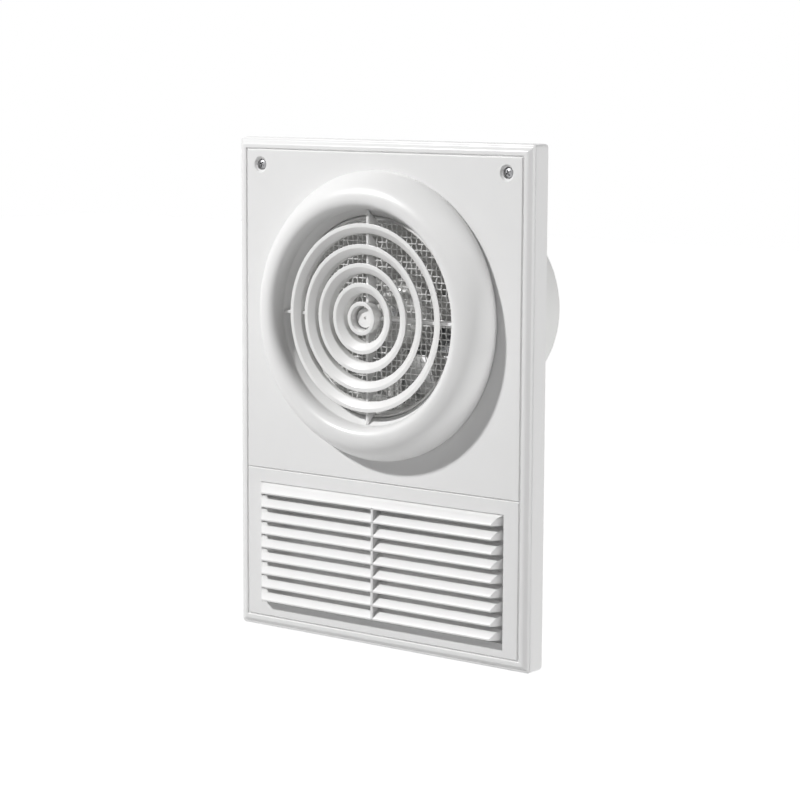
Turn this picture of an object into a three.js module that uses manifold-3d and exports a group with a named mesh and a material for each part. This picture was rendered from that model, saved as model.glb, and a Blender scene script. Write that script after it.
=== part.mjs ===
// Wall extractor for a 100 mm duct, with a passive vent below the fan.
// Millimetres. +Z is up, the front faces -Y and the duct runs towards +Y.
// The origin is on the fan's axis, in the plane of the wall.

import * as THREE from 'three';
import { mergeGeometries, mergeVertices } from 'three/addons/utils/BufferGeometryUtils.js';
import Module from 'manifold-3d';

const wasm = await Module();
wasm.setup();

// ---------------------------------------------------------------- driving sizes

const fitGap = 0.3;              // clearance between pieces that fit together
const runGap = 0.1;              // radial clearance of the shaft in its bearings
const through = 1;               // how far a cutting tool runs past a face

// front panel
const panelWidth = 180;
const panelHeight = 250;
const panelDepth = 12;           // wall to front face
const panelWall = 2;
const axisBelowTop = 85.2;       // fan axis under the panel's top edge
const ledgeStep = 2;             // depth of the stepped border
const ledgeInset = 2.65;
const shoulder = 1.3;            // chamfer on the outer edge
const grooveInset = 5.75;
const grooveHalfWidth = 0.5;
const grooveDepth = 0.6;
const dividerBelowAxis = 82.3;   // groove between the fan and the vent

// passive vent
const ventSideMargin = 15;
const ventTopBelowAxis = 89.7;
const ventBottomMargin = 13;     // least height of panel left under the vent
const hoodPitch = 6.93;
const hoodHeight = 5;            // front lip's lower edge to the top line
const hoodStandOut = 4.8;
const hoodLip = 0.9;
const hoodBulge = 0.9;           // how far the hood's back stands above a straight slope
const hoodWall = 1.2;
const ventFoot = 1.4;            // plate left under the lowest hood
const ventPlate = 2.3;
const ventFlange = 3;            // how far the hidden flange reaches past the plate
const ventFlangeThickness = 1.5;
const ribThickness = 1.5;

// round collar in front of the fan
const collarFlank = 13.3;        // crest to the outer edge
const collarMouth = 4.5;         // throat to the crest
const collarLip = 3;
const collarHeight = 16;
const throatFlare = 3.7;         // the round mouth's foot is wider than the sleeve
const throatDepth = 9;           // that foot in front of the panel
const funnelDepth = 3.8;         // a cone leads from there to the sleeve
const sleeveStep = 0.2;          // the collar's sleeve is narrower than the spigot
const sleeveWall = 1.6;
const collarWall = 2;

// inlet grille
const ringRadii = [46, 36, 26.85, 17.45, 8.25];
const ringFronts = [11.8, 13.0, 13.4, 13.7, 13.9];   // in front of the panel
const ringRim = 2;               // flat rim at the front
const ringLean = 3.3;            // inside the rim, each ring slopes in by this
const ringSlope = 2.2;           // depth of that slope
const ringWall = 1.5;            // of the short tube behind the slope
const ringFoot = 1.2;            // how far the tubes reach behind the spokes' front edge
const hubGap = 1;                // groove round the hub
const grilleHub = 4.8;
const hubDrop = 3.1;             // hub's face behind the smallest ring's rim
const spokeCount = 4;
const spokeThickness = 1.5;
const spokeFront = 8.2;          // spokes' edges in front of the panel
const spokeBack = 3;
const finStep = 0.9;             // rear end of a fin beyond its ring
const grilleSleeveWall = 1.2;
const grilleSleeveLength = 6.3;

// insect mesh
const meshPitch = 8.2;
const meshWire = 0.7;
const meshRim = 2;
const clampWidth = 3.4;
const clampThickness = 1.3;

// casing, which is the duct spigot too
const spigotRadius = 49.5;
const spigotWall = 1.6;
const spigotLength = 73;         // behind the wall's face
const spigotLeadIn = 0.9;
const casingMouth = 7;           // front end, in front of the wall's face
const flangeWidth = 8.5;
const flangeThickness = 2;
const casingScrewInset = 4;      // from the flange's edge
const casingScrewCount = 4;

// base plate on the wall
const plateThickness = 2.4;
const ventWindowInset = 3;
const wallHoleRadius = 2.3;
const wallHoleInset = 24;        // from the panel's sides
const wallHoleZ = [48, -76];
const lugInset = 30;             // from the panel's sides
const lugLength = 12;
const lugThickness = 3;

// screws of the panel
const panelScrewInset = 14.85;   // from the panel's sides
const panelScrewBelowTop = 13.5;
const panelScrewHead = 2.6;
const panelScrewHeadThickness = 1.5;
const panelScrewShank = 1.25;
const dishRadius = 3.9;
const screwSeatDepth = 2.8;      // screw's seat behind the front face
const screwSeatWall = 1.2;

// motor
const motorRadius = 22.2;
const motorFront = 21.5;         // behind the wall's face
const motorLength = 29;
const motorWall = 1.2;
const motorEndWall = 1.5;
const bearingRadius = 5.9;
const bearingLength = 5;
const bearingWall = 1.1;
const bearingGrip = 3.6;         // length of the seat round a bearing
const noseLength = 1.8;          // housing's boss in front of its face
const shaftRadius = 2.5;
const rotorRadius = 12.2;
const airGap = 0.4;
const coreLength = 16;
const coreFront = 28;
const coreYoke = 3.7;
const toothCount = 8;
const toothWidth = 4;
const endTurn = 3;
const motorScrewCircle = 15;
const motorScrewCount = 3;
const motorScrewTurn = 30;       // degrees
const motorScrewLength = 6.6;
const capBoss = 3.2;

// motor bracket
const bracketWall = 1.8;
const bracketFront = 41;
const bracketLength = 13.4;
const bracketFloor = 2;
const armThickness = 2;
const armCount = 4;
const armTurn = 45;              // degrees

// impeller
const hubRadius = 17.5;
const hubWall = 1.5;
const hubLength = 18;
const hubNose = 8;               // length of its rounded front
const hubBossRadius = 6;
const hubBossLength = 15;
const bladeCount = 7;
const tipClearance = 3.9;        // blade tip to the casing's bore
const bladeThickness = 1.4;
const bladeRootChord = 21;
const bladeTipChord = 33;
const bladeRootPitch = 50;       // degrees from the plane of the wheel
const bladeTipPitch = 28;
const bladeCamber = 1.6;
const nutFlats = 8;
const nutThickness = 2.2;

// wiring, on a line that runs down and to the right from the axis
const wiringAngle = Math.PI / 4;
const blockClearance = 8;        // from the casing's flange
const blockWidth = 12;
const blockLength = 22;
const blockHeight = 5.6;
const poleSpacing = 10;
const poleScrewRadius = 1.9;
const leadRadius = 0.8;
const leadSpacing = 2.2;
const leadTurn = 35;             // where the leads turn in to the motor
const leadBend = 3;
const leadTail = 1.5;            // bare end inside the terminal
const coverWall = 1;
const clampClearance = 4;        // from the terminal block
const clampBarLength = 18;
const clampBarWidth = 6;
const clampBarThickness = 2;
const clampScrewSpacing = 13;
const grommetClearance = 1.4;    // from the clamp
const grommetBore = 3;
const grommetNeck = 4.7;
const grommetFlange = 6.6;
const grommetFlangeThickness = 1.5;

// circles
const roundSteps = 40;
const motorSteps = 24;
const smallSteps = 20;
const tinySteps = 10;

// ---------------------------------------------------------------- derived places

const frontFace = -panelDepth;
const panelTop = axisBelowTop;
const panelBottom = axisBelowTop - panelHeight;
const panelBack = frontFace + panelWall;
const plateFront = -plateThickness;
const flangeFront = plateFront - fitGap - flangeThickness;
const panelScrewX = panelWidth / 2 - panelScrewInset;
const wallHoleX = panelWidth / 2 - wallHoleInset;
const lugX = panelWidth / 2 - lugInset;
const bossTop = frontFace + screwSeatDepth + screwSeatWall + fitGap;
const flangeRadius = spigotRadius + flangeWidth;
const casingScrewCircle = flangeRadius - casingScrewInset;
const sleeveRadius = spigotRadius - sleeveStep;
const throatRadius = sleeveRadius + throatFlare;
const collarCrestRadius = throatRadius + collarMouth;
const collarRadius = collarCrestRadius + collarFlank;
const blockInner = flangeRadius + blockClearance;
const clampPlace = blockInner + blockWidth + clampClearance + clampBarWidth / 2;
const grommetPlace = clampPlace + clampBarWidth / 2 + grommetClearance + grommetFlange;
const ventWidth = panelWidth - 2 * ventSideMargin;
const ventRoom = panelHeight - axisBelowTop - ventTopBelowAxis - ventBottomMargin;
const hoodCount = 1 + Math.floor((ventRoom - hoodHeight - ventFoot) / hoodPitch);
const boreRadius = spigotRadius - spigotWall;
const tipRadius = boreRadius - tipClearance;
const meshFront = -casingMouth - clampThickness - 2 * fitGap - meshWire;
const sleeveEnd = meshFront - fitGap;
const motorBack = motorFront + motorLength;
const bracketBack = bracketFront + bracketLength;
const ventTop = -ventTopBelowAxis;
const firstHoodFoot = ventTop - hoodHeight;
const lastHoodFoot = firstHoodFoot - hoodPitch * (hoodCount - 1);
const ventBottom = lastHoodFoot - ventFoot;
const panelScrewZ = panelTop - panelScrewBelowTop;

// ---------------------------------------------------------------- solids

/** Turns a closed three.js geometry into a solid, with its faces pointing out. */
function solid(geometry) {
  const bare = geometry.clone();
  bare.deleteAttribute('normal');
  bare.deleteAttribute('uv');
  const merged = mergeVertices(bare, 1e-4);
  const places = merged.getAttribute('position').array;
  const triangles = [];
  for (let i = 0; i < merged.index.count; i += 3) {
    const [a, b, c] = [0, 1, 2].map((k) => merged.index.getX(i + k));
    if (a !== b && b !== c && c !== a) triangles.push(a, b, c);
  }
  if (signedVolume(places, triangles) < 0) triangles.reverse();
  return new wasm.Manifold(new wasm.Mesh({
    numProp: 3,
    vertProperties: new Float32Array(places),
    triVerts: new Uint32Array(triangles),
  }));
}

/** Six times the volume that the triangles enclose. */
function signedVolume(places, triangles) {
  const corner = (i) => new THREE.Vector3().fromArray(places, 3 * triangles[i]);
  let sum = 0;
  for (let i = 0; i < triangles.length; i += 3) {
    sum += corner(i).dot(corner(i + 1).cross(corner(i + 2)));
  }
  return sum;
}

const join = (first, ...others) => others.reduce((whole, piece) => whole.add(piece), first);
const cut = (first, ...others) => others.reduce((whole, piece) => whole.subtract(piece), first);

function box(x0, x1, y0, y1, z0, z1) {
  const geometry = new THREE.BoxGeometry(x1 - x0, y1 - y0, z1 - z0);
  return solid(geometry.translate((x0 + x1) / 2, (y0 + y1) / 2, (z0 + z1) / 2));
}

/** Cylinder along Y, centred at (x, z). */
function rod(radius, y0, y1, x = 0, z = 0, steps = smallSteps) {
  const geometry = new THREE.CylinderGeometry(radius, radius, y1 - y0, steps);
  return solid(geometry.translate(x, (y0 + y1) / 2, z));
}

/** Cone frustum along Y, with one radius at y0 and another at y1. */
function cone(radius0, radius1, y0, y1, x = 0, z = 0, steps = smallSteps) {
  const geometry = new THREE.CylinderGeometry(radius1, radius0, y1 - y0, steps);
  return solid(geometry.translate(x, (y0 + y1) / 2, z));
}

/** Turns a closed outline of [radius, y] points around the fan's axis. */
function turned(outline, steps = roundSteps) {
  const points = [...outline, outline[0]].map(([r, y]) => new THREE.Vector2(r, y));
  return solid(new THREE.LatheGeometry(points, steps));
}

/** Extrudes an outline of [x, y] points, drawn in the XY plane, from z0 to z1. */
function plate(outline, z0, z1) {
  const shape = new THREE.Shape(outline.map(([x, y]) => new THREE.Vector2(x, y)));
  const geometry = new THREE.ExtrudeGeometry(shape, { depth: z1 - z0, bevelEnabled: false });
  return solid(geometry.translate(0, 0, z0));
}

/** Closed body from rings of points with equal counts, capped at both ends. */
function loft(rings) {
  const count = rings[0].length;
  const places = rings.flat(2);
  const faces = [];
  for (let ring = 0; ring < rings.length - 1; ring++) {
    for (let i = 0; i < count; i++) {
      const a = ring * count + i;
      const b = ring * count + (i + 1) % count;
      faces.push(a, b, b + count, a, b + count, a + count);
    }
  }
  const last = (rings.length - 1) * count;
  for (let i = 1; i < count - 1; i++) {
    faces.push(0, i + 1, i, last, last + i, last + i + 1);
  }
  const geometry = new THREE.BufferGeometry();
  geometry.setAttribute('position', new THREE.Float32BufferAttribute(places, 3));
  geometry.setIndex(faces);
  return solid(geometry);
}

/** Copies of a solid, evenly spaced around the fan's axis. */
function copies(piece, count, start = 0) {
  return Array.from({ length: count }, (_, i) => piece.rotate([0, start + (360 * i) / count, 0]));
}

const around = (piece, count, start) => join(...copies(piece, count, start));

const group = new THREE.Group();

/** Adds a solid to the model as a named mesh with its own material. */
function add(name, piece, color, roughness, metalness = 0, parent = group) {
  const { vertProperties, numProp, triVerts } = piece.getMesh();
  const places = new Float32Array((vertProperties.length / numProp) * 3);
  for (let i = 0; i < places.length / 3; i++) {
    places.set(vertProperties.subarray(i * numProp, i * numProp + 3), i * 3);
  }
  const geometry = new THREE.BufferGeometry();
  geometry.setAttribute('position', new THREE.BufferAttribute(places, 3));
  geometry.setIndex(new THREE.BufferAttribute(new Uint32Array(triVerts), 1));
  geometry.computeVertexNormals();
  const material = new THREE.MeshStandardMaterial({ color, roughness, metalness });
  const mesh = new THREE.Mesh(geometry, material);
  mesh.name = name;
  parent.add(mesh);
}

/** Adds each of several like solids as its own mesh, numbered from 1. */
function addEach(name, pieces, color, roughness, metalness = 0, parent = group) {
  pieces.forEach((piece, i) => add(`${name}_${i + 1}`, piece, color, roughness, metalness, parent));
}

const whitePlastic = 0xeeeeec;
const greyPlastic = 0xc9cbcd;
const darkPlastic = 0x3a3c3f;
const steel = 0xa9adb1;
const copper = 0xb4693a;
const brass = 0xc2a15a;

// ---------------------------------------------------------------- front panel

/** Corners of the panel's rectangle, moved in by an inset, at a height y. */
function panelRing(inset, y) {
  const x = panelWidth / 2 - inset;
  const top = panelTop - inset;
  const bottom = panelBottom + inset;
  return [[-x, y, bottom], [x, y, bottom], [x, y, top], [-x, y, top]];
}

function frontPanel() {
  const ledge = frontFace + ledgeStep;
  const shell = loft([
    panelRing(0, 0),
    panelRing(0, ledge + shoulder),
    panelRing(shoulder, ledge),
    panelRing(ledgeInset, ledge),
    panelRing(ledgeInset, frontFace),
    panelRing(grooveInset - grooveHalfWidth, frontFace),
    panelRing(grooveInset, frontFace + grooveDepth),
    panelRing(grooveInset + grooveHalfWidth, frontFace),
  ]);
  const hollow = loft([
    panelRing(panelWall, through),
    panelRing(panelWall, ledge + panelWall),
    panelRing(ledgeInset + panelWall, panelBack),
  ]);
  const grooveEnd = panelWidth / 2 - grooveInset;
  const divider = loft([-grooveEnd, grooveEnd].map((x) => [
    [x, frontFace - through, -dividerBelowAxis - grooveHalfWidth],
    [x, frontFace, -dividerBelowAxis - grooveHalfWidth],
    [x, frontFace + grooveDepth, -dividerBelowAxis],
    [x, frontFace, -dividerBelowAxis + grooveHalfWidth],
    [x, frontFace - through, -dividerBelowAxis + grooveHalfWidth],
  ]));
  const mouth = rod(
    sleeveRadius + sleeveWall + fitGap, frontFace - through, through, 0, 0, roundSteps);
  const ventX = ventWidth / 2 + fitGap;
  const window = box(-ventX, ventX, frontFace - through, through,
    ventBottom - fitGap, ventTop + fitGap);
  let panel = cut(shell, hollow, divider, mouth, window);
  for (const x of [-panelScrewX, panelScrewX]) {
    const seat = frontFace + screwSeatDepth;
    const dishDepth = dishRadius - panelScrewHead - fitGap;
    const pad = rod(dishRadius + panelWall / 2, panelBack - fitGap, seat + screwSeatWall,
      x, panelScrewZ);
    const dish = cone(dishRadius, panelScrewHead + fitGap,
      frontFace, frontFace + dishDepth, x, panelScrewZ);
    const mouthOfDish = rod(dishRadius, frontFace - through, frontFace, x, panelScrewZ);
    const counterbore = rod(panelScrewHead + fitGap, frontFace, seat, x, panelScrewZ);
    const hole = rod(panelScrewShank + 2 * fitGap, frontFace, through, x, panelScrewZ);
    panel = cut(join(panel, pad), mouthOfDish, dish, counterbore, hole);
  }
  return panel;
}

/** Screw with a round head and a cross recess, pointing towards +Y. */
function crossScrew(head, headThickness, shank, top, tip, x, z) {
  const arm = head * 0.55;
  const blade = head * 0.14;
  const recess = headThickness * 0.6;
  const body = join(
    cone(head * 0.8, head, top, top + headThickness, x, z, tinySteps),
    rod(shank, top + headThickness, tip - shank, x, z, tinySteps),
    cone(shank, shank * 0.3, tip - shank, tip, x, z, tinySteps),
  );
  return cut(body,
    box(x - arm, x + arm, top - through, top + recess, z - blade, z + blade),
    box(x - blade, x + blade, top - through, top + recess, z - arm, z + arm));
}

function panelScrews() {
  const top = frontFace + screwSeatDepth - fitGap - panelScrewHeadThickness;
  return [-panelScrewX, panelScrewX].map((x) => crossScrew(
    panelScrewHead, panelScrewHeadThickness, panelScrewShank, top, plateFront - fitGap, x, panelScrewZ));
}

// ---------------------------------------------------------------- passive vent

/** Prism between x = -half and half, its ends drawn in by the height above the plate. */
function hipped(section, half) {
  return loft([-1, 1].map((side) => section.map(
    ([y, z]) => [side * (half + Math.min(0, y - frontFace)), y, z])));
}

function ventLouvre() {
  const halfWidth = ventWidth / 2;
  const plateBack = frontFace + ventPlate;
  const flangeBack = plateBack + ventFlangeThickness;
  const lipFront = frontFace - hoodStandOut;
  const slope = (hoodHeight - hoodLip) / hoodStandOut;
  const slant = hoodWall * Math.hypot(1, slope);
  const lipBack = lipFront + (slant - hoodLip) / slope;
  const openHeight = hoodHeight - slant;
  const sill = hoodLip * 0.6;
  const openHalf = halfWidth - hoodWall * Math.SQRT2;
  let louvre = join(
    box(-halfWidth, halfWidth, frontFace, flangeBack, ventBottom, ventTop),
    box(-halfWidth - ventFlange, halfWidth + ventFlange, plateBack, flangeBack,
      ventBottom - ventFlange, ventTop + ventFlange),
  );
  louvre = cut(louvre, box(-openHalf, openHalf, plateBack - 0.3, flangeBack + through,
    ventBottom + ventPlate, ventTop - ventPlate));
  const shoulderY = (lipFront + frontFace) / 2;
  const shoulderZ = (hoodLip + hoodHeight) / 2 + hoodBulge;
  const feet = Array.from({ length: hoodCount }, (_, i) => firstHoodFoot - i * hoodPitch);
  const hoods = feet.map((foot) => hipped([
    [frontFace + 0.5, foot], [lipFront, foot], [lipFront, foot + hoodLip],
    [shoulderY, foot + shoulderZ], [frontFace, foot + hoodHeight], [frontFace + 0.5, foot + hoodHeight],
  ], halfWidth));
  const ducts = feet.map((foot) => hipped([
    [frontFace, foot + sill], [frontFace, foot - 0.5], [lipBack, foot - 0.5], [lipBack, foot],
    [frontFace, foot + openHeight], [plateBack + through, foot + openHeight],
    [plateBack + through, foot + sill],
  ], openHalf));
  louvre = cut(join(louvre, ...hoods), ...ducts);
  const rib = box(-ribThickness / 2, ribThickness / 2, frontFace - hoodStandOut, plateBack,
    lastHoodFoot, firstHoodFoot + hoodLip);
  return join(louvre, rib);
}

// ---------------------------------------------------------------- collar and grille

function frontCollar() {
  const rim = frontFace - fitGap;
  const crest = frontFace - collarHeight;
  const neck = frontFace - throatDepth;
  const outside = new THREE.CubicBezierCurve(
    new THREE.Vector2(collarRadius, frontFace - collarLip),
    new THREE.Vector2(collarRadius - 3, crest + 6),
    new THREE.Vector2(collarCrestRadius + 6, crest),
    new THREE.Vector2(collarCrestRadius, crest),
  ).getPoints(4);
  const mouth = new THREE.CubicBezierCurve(
    new THREE.Vector2(collarCrestRadius, crest),
    new THREE.Vector2(collarCrestRadius - 1.6, crest),
    new THREE.Vector2(throatRadius + 1.6, neck - 4.5),
    new THREE.Vector2(throatRadius, neck),
  ).getPoints(3).slice(1);
  const inside = new THREE.CubicBezierCurve(
    new THREE.Vector2(throatRadius + collarWall, neck),
    new THREE.Vector2(throatRadius + collarWall, crest + collarWall + 1),
    new THREE.Vector2(collarRadius - 6, crest + collarWall + 1),
    new THREE.Vector2(collarRadius - collarWall, frontFace - collarLip),
  ).getPoints(2);
  const points = [
    [collarRadius, rim],
    ...outside.map((p) => [p.x, p.y]),
    ...mouth.map((p) => [p.x, p.y]),
    [sleeveRadius, neck + funnelDepth],
    [sleeveRadius, sleeveEnd],
    [sleeveRadius + sleeveWall, sleeveEnd],
    [sleeveRadius + sleeveWall, rim],
    ...inside.map((p) => [p.x, p.y]),
    [collarRadius - collarWall, rim],
  ];
  return turned(points);
}

/** Inner radius of a ring: its slope stops before the groove round the hub. */
function ringInner(radius) {
  return radius - ringRim - Math.min(ringLean, radius - ringRim - grilleHub - hubGap);
}

function inletGrille() {
  const spokeEdge = frontFace - spokeFront;
  const back = frontFace - spokeBack;
  const rings = ringRadii.map((radius, i) => {
    const front = frontFace - ringFronts[i];
    const inner = ringInner(radius);
    return turned([
      [radius, front],
      [inner + ringWall, spokeEdge + ringFoot],
      [inner, spokeEdge + ringFoot],
      [inner, front + ringSlope],
      [radius - ringRim, front],
    ], i < 2 ? roundSteps : i < 4 ? motorSteps : smallSteps);
  });
  const outer = sleeveRadius - fitGap;
  const sleeveFront = sleeveEnd - grilleSleeveLength;
  const funnelEnd = frontFace - throatDepth + funnelDepth;
  const funnelSlope = throatFlare / funnelDepth;
  const clear = sleeveRadius - fitGap * Math.hypot(1, funnelSlope);
  const half = spokeThickness / 2;
  const fins = ringRadii.map((radius, i) => {
    const root = ringInner(radius) + ringWall / 2;
    const edge = i === 0
      ? [[clear + (funnelEnd - spokeEdge) * funnelSlope, spokeEdge], [clear, funnelEnd],
        [outer - grilleSleeveWall / 2, back]]
      : [[ringInner(ringRadii[i - 1]) + ringWall / 2, spokeEdge], [radius + finStep, back]];
    return plate([[root, spokeEdge], ...edge, [root, back]], -half, half);
  });
  const root = ringInner(ringRadii[ringRadii.length - 1]) + ringWall / 2;
  const bar = plate([[0, spokeEdge], [root, spokeEdge], [root, back], [0, back]], -half, half);
  const sleeve = turned([
    [outer, sleeveEnd], [outer, sleeveFront],
    [outer - grilleSleeveWall, sleeveFront], [outer - grilleSleeveWall, sleeveEnd],
  ], 40);
  const hubFront = frontFace - ringFronts[ringFronts.length - 1] + hubDrop;
  const hub = rod(grilleHub, hubFront, back, 0, 0, smallSteps);
  const body = join(...rings, around(join(bar, ...fins), spokeCount), sleeve, hub);
  return cut(body, rod(0.7, hubFront - through, hubFront + 1, 0, 0, tinySteps));
}

// ---------------------------------------------------------------- insect mesh

function insectMesh() {
  const outer = sleeveRadius - 3 * fitGap;
  const back = meshFront + meshWire;
  const half = meshWire / 2;
  const wires = [];
  const reach = Math.floor(outer / meshPitch);
  for (let i = -reach; i <= reach; i++) {
    const place = i * meshPitch;
    wires.push(box(place - half, place + half, meshFront, back, -outer, outer));
    wires.push(box(-outer, outer, meshFront, back, place - half, place + half));
  }
  const disc = rod(outer, meshFront - through, back + through, 0, 0, roundSteps);
  const rim = turned([
    [outer, meshFront], [outer, back], [outer - meshRim, back], [outer - meshRim, meshFront],
  ]);
  return join(join(...wires).intersect(disc), rim);
}

function meshClampRing() {
  const outer = sleeveRadius - fitGap;
  const front = -casingMouth - fitGap - clampThickness;
  const back = -casingMouth - fitGap;
  return turned([
    [outer, front], [outer, back], [outer - clampWidth, back], [outer - clampWidth, front],
  ]);
}

// ---------------------------------------------------------------- casing and base plate

function fanCasing() {
  const flangeBack = plateFront - fitGap;
  const tube = turned([
    [boreRadius, -casingMouth],
    [spigotRadius, -casingMouth],
    [spigotRadius, flangeFront],
    [flangeRadius, flangeFront],
    [flangeRadius, flangeBack],
    [spigotRadius, flangeBack],
    [spigotRadius, spigotLength - spigotLeadIn],
    [spigotRadius - spigotLeadIn, spigotLength],
    [boreRadius, spigotLength],
  ]);
  const holes = around(
    rod(panelScrewShank + fitGap, flangeFront - through, flangeBack + through,
      casingScrewCircle, 0, tinySteps), casingScrewCount);
  const halfNotch = leadSpacing / 2 + leadRadius + fitGap;
  const notch = box(boreRadius - 2, spigotRadius + 2, -casingMouth - through, flangeFront,
    -halfNotch, halfNotch).rotate([0, THREE.MathUtils.radToDeg(wiringAngle), 0]);
  return cut(tube, holes, notch);
}

function basePlate() {
  const edge = panelWall + fitGap;
  const slab = loft([panelRing(edge, 0), panelRing(edge, plateFront)]);
  const ductHole = rod(spigotRadius + fitGap, plateFront - through, through, 0, 0, roundSteps);
  const ventX = ventWidth / 2 - ventWindowInset;
  const window = box(-ventX, ventX, plateFront - through, through,
    ventBottom + ventWindowInset, ventTop - ventWindowInset);
  const wallHoles = wallHoleZ.flatMap((z) => [-wallHoleX, wallHoleX].map(
    (x) => rod(wallHoleRadius, plateFront - through, through, x, z, tinySteps)));
  const casingHoles = around(
    rod(panelScrewShank + fitGap, plateFront - through, through, casingScrewCircle, 0, tinySteps),
    casingScrewCount);
  const turn = [0, THREE.MathUtils.radToDeg(wiringAngle), 0];
  const cableHole = rod(grommetNeck + fitGap, plateFront - through, through, grommetPlace, 0)
    .rotate(turn);
  let base = cut(slab, ductHole, window, cableHole, casingHoles, ...wallHoles);
  for (const x of [-panelScrewX, panelScrewX]) {
    const boss = rod(panelScrewHead + panelWall, bossTop, plateFront + 0.2, x, panelScrewZ);
    const pilot = rod(panelScrewShank + fitGap, bossTop - through, plateFront, x, panelScrewZ);
    base = cut(join(base, boss), pilot);
  }
  const lugBottom = panelBottom + ledgeInset + panelWall + fitGap;
  for (const x of [-lugX, lugX]) {
    base = join(base, box(x - lugLength / 2, x + lugLength / 2, panelBack + fitGap,
      plateFront + 0.2, lugBottom, lugBottom + lugThickness));
  }
  const clampTop = plateFront - clampBarThickness - fitGap;
  for (const z of [-clampScrewSpacing / 2, clampScrewSpacing / 2]) {
    const boss = rod(clampBarThickness, clampTop, plateFront + 0.2, clampPlace, z, tinySteps);
    const pilot = rod(1, clampTop - through, plateFront, clampPlace, z, tinySteps);
    base = cut(join(base, boss.rotate(turn)), pilot.rotate(turn));
  }
  return base;
}

function casingScrews() {
  const top = flangeFront - fitGap - panelScrewHeadThickness;
  const screw = crossScrew(panelScrewHead, panelScrewHeadThickness, panelScrewShank, top, -fitGap,
    casingScrewCircle, 0);
  return copies(screw, casingScrewCount);
}

// ---------------------------------------------------------------- motor

function motorBracket() {
  const outer = boreRadius - fitGap;
  const cupOuter = motorRadius + fitGap + bracketWall;
  const ring = turned([
    [outer, bracketFront], [outer, bracketBack],
    [outer - bracketWall, bracketBack], [outer - bracketWall, bracketFront],
  ]);
  const cup = turned([
    [cupOuter, bracketFront], [cupOuter, bracketBack + bracketFloor],
    [capBoss + bearingRadius - 1, bracketBack + bracketFloor],
    [capBoss + bearingRadius - 1, bracketBack],
    [motorRadius + fitGap, bracketBack], [motorRadius + fitGap, bracketFront],
  ], motorSteps);
  const arm = box(motorRadius + fitGap + bracketWall / 2, outer - bracketWall / 2,
    bracketFront + 1, bracketBack - 1, -armThickness / 2, armThickness / 2);
  const holes = around(
    rod(panelScrewShank + fitGap, bracketBack - through, bracketBack + bracketFloor + through,
      motorScrewCircle, 0, tinySteps), motorScrewCount, motorScrewTurn);
  return cut(join(ring, cup, around(arm, armCount, armTurn)), holes);
}

function motorHousing() {
  const seat = bearingRadius + fitGap;
  const boss = seat + bearingWall;
  const nose = motorFront - noseLength;
  const inner = motorRadius - motorWall;
  const innerFront = motorFront + motorEndWall;
  const shell = turned([
    [shaftRadius + 2 * fitGap, nose], [boss, nose], [boss, motorFront],
    [motorRadius, motorFront], [motorRadius, motorBack], [inner, motorBack],
    [inner, innerFront], [boss, innerFront], [boss, innerFront + bearingGrip],
    [seat, innerFront + bearingGrip], [seat, nose + motorEndWall],
    [shaftRadius + 2 * fitGap, nose + motorEndWall],
  ], motorSteps);
  const entries = [-1, 1].map((side) => solid(
    new THREE.CylinderGeometry(leadRadius + fitGap, leadRadius + fitGap, 4 * motorWall, tinySteps)
      .rotateZ(Math.PI / 2)
      .translate(motorRadius, leadTurn, (side * leadSpacing) / 2)));
  const turn = [0, THREE.MathUtils.radToDeg(wiringAngle), 0];
  return cut(shell, ...entries.map((entry) => entry.rotate(turn)));
}

function motorEndCap() {
  const seat = bearingRadius + fitGap;
  const boss = seat + bearingWall;
  const front = motorBack + fitGap;
  const back = front + motorEndWall;
  const bossBack = bracketBack - fitGap;
  const cap = turned([
    [0, bossBack], [boss, bossBack], [boss, back], [motorRadius, back], [motorRadius, front],
    [boss, front], [boss, front - bearingGrip], [seat, front - bearingGrip],
    [seat, bossBack - motorEndWall], [0, bossBack - motorEndWall],
  ], motorSteps);
  const bosses = around(
    rod(capBoss, back - 0.2, bossBack, motorScrewCircle, 0, tinySteps), motorScrewCount, motorScrewTurn);
  const bores = around(
    rod(panelScrewShank + fitGap, front - through, bossBack + through,
      motorScrewCircle, 0, tinySteps), motorScrewCount, motorScrewTurn);
  return cut(join(cap, bosses), bores);
}

function motorScrews() {
  const under = bracketBack + bracketFloor + fitGap;
  const screw = crossScrew(panelScrewHead, panelScrewHeadThickness, panelScrewShank, 0,
    motorScrewLength, motorScrewCircle, 0);
  const flipped = screw.rotate([180, 0, 0]).translate([0, under + panelScrewHeadThickness, 0]);
  return copies(flipped, motorScrewCount, motorScrewTurn);
}

const coreOuter = motorRadius - motorWall - fitGap;
const coreInner = rotorRadius + airGap;
const coreBack = coreFront + coreLength;

function teeth(width, inner, outer, front, back) {
  const tooth = box(inner - 2, outer, front, back, -width / 2, width / 2);
  return around(tooth, toothCount);
}

function statorCore() {
  const yoke = turned([
    [coreOuter, coreFront], [coreOuter, coreBack],
    [coreOuter - coreYoke, coreBack], [coreOuter - coreYoke, coreFront],
  ], motorSteps);
  const poles = teeth(toothWidth, coreInner, coreOuter - coreYoke + 0.5, coreFront, coreBack);
  const bore = rod(coreInner, coreFront - through, coreBack + through, 0, 0, motorSteps);
  return cut(join(yoke, poles), bore);
}

function statorWindings() {
  const inner = coreInner + 0.6;
  const outer = coreOuter - coreYoke - fitGap;
  const front = coreFront - fitGap - endTurn;
  const back = coreBack + fitGap + endTurn;
  const whole = turned([[outer, front], [outer, back], [inner, back], [inner, front]], motorSteps);
  const gaps = teeth(toothWidth + 2 * fitGap, inner, outer + 2, coreFront - fitGap, coreBack + fitGap);
  return cut(whole, gaps);
}

function rotorCore() {
  const bore = shaftRadius + runGap;
  return turned([
    [bore, coreFront], [rotorRadius, coreFront], [rotorRadius, coreBack], [bore, coreBack],
  ], motorSteps);
}

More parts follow.
